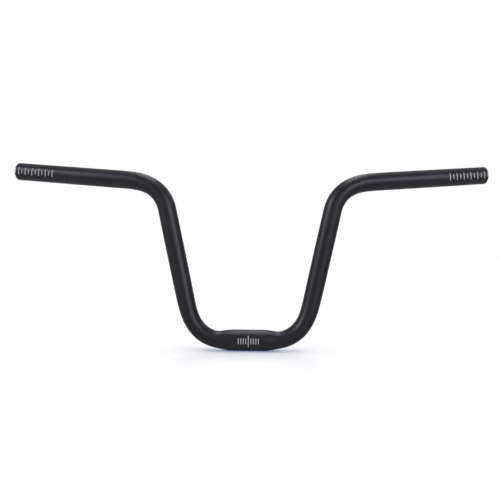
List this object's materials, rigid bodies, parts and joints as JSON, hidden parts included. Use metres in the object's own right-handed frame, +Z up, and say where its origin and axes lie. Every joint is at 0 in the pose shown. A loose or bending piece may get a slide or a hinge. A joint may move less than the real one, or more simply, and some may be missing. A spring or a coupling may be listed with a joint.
{
  "type": "bicycle handlebar",
  "caption": "High-rise bicycle handlebar: one bent aluminium tube, swelled at the clamp, with uprights that lean out, swept-back straight grips and open ends.",
  "frame": {"origin": "the middle of the clamp, on the clamp's axis", "axes": "+X along the clamp's axis, to the picture's right; +Y back towards the rider, the way the grips sweep; +Z up, along the rise"},
  "size_m": [0.61, 0.08, 0.2327],
  "materials": {
    "black_anodised_aluminium": "bead-blasted and anodised matte black"
  },
  "bodies": {
    "root": {"handlebar": "black_anodised_aluminium"}
  },
  "joints": []
}
